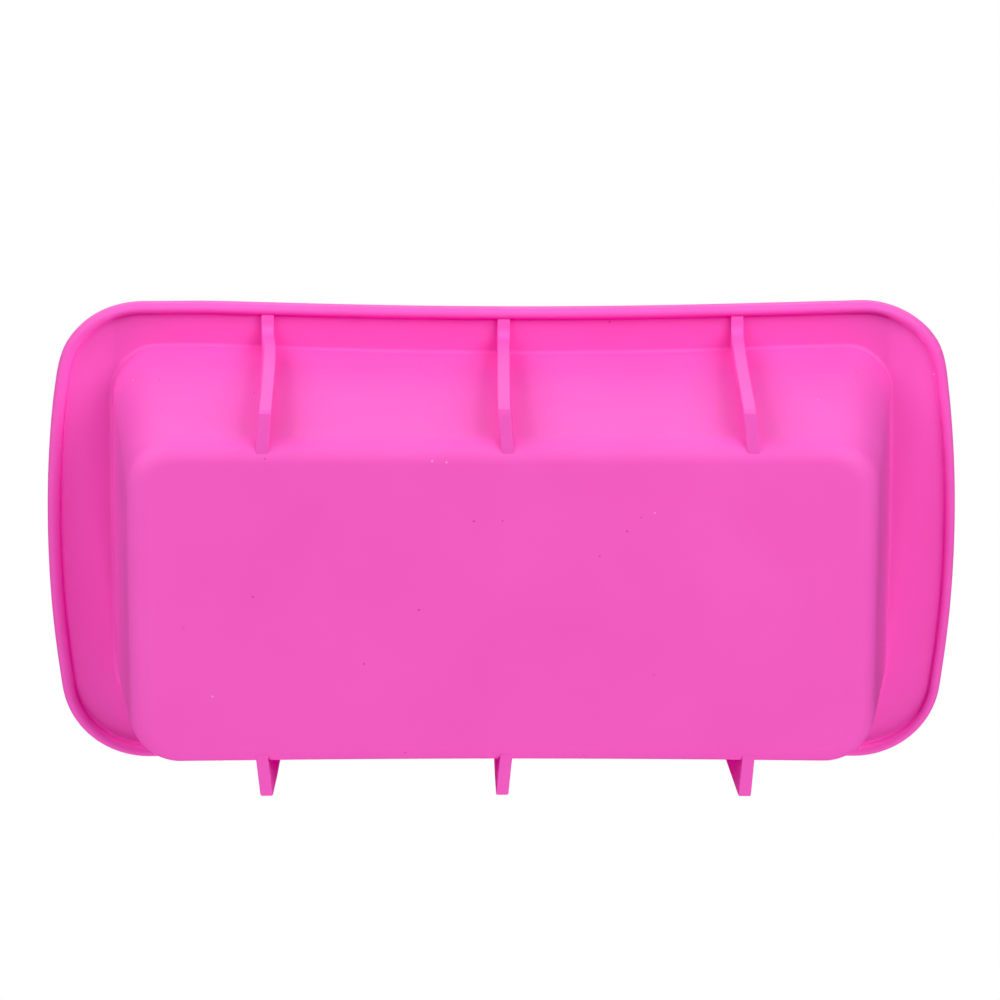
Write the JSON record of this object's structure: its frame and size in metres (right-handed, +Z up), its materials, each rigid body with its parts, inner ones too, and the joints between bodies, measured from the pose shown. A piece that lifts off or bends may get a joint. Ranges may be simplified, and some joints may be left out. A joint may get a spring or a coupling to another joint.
{
  "type": "soap loaf mould",
  "caption": "Flexible silicone loaf mould: a drafted rectangular tray with a broad flanged rim, a turned-down edge bead and plate ribs along its long sides that double as feet.",
  "frame": {"origin": "middle of the footprint, on the surface that the mould's base rests on", "axes": "+Z up through the open mouth, +X along the loaf, +Y across it; the flat base is in the Z = 0 plane"},
  "size_m": [0.27, 0.1442, 0.0665],
  "materials": {
    "silicone": "hot pink pigmented silicone, matt to satin"
  },
  "bodies": {
    "root": {"base_panel": "silicone", "wall_front": "silicone", "wall_back": "silicone", "wall_left": "silicone", "wall_right": "silicone", "corner_front_left": "silicone", "corner_front_right": "silicone", "corner_back_left": "silicone", "corner_back_right": "silicone", "mouth_flange": "silicone", "bead_front": "silicone", "bead_back": "silicone", "bead_left": "silicone", "bead_right": "silicone", "bead_corner_front_left": "silicone", "bead_corner_front_right": "silicone", "bead_corner_back_left": "silicone", "bead_corner_back_right": "silicone", "rib_front_left": "silicone", "rib_front_centre": "silicone", "rib_front_right": "silicone", "rib_back_left": "silicone", "rib_back_centre": "silicone", "rib_back_right": "silicone"}
  },
  "joints": []
}
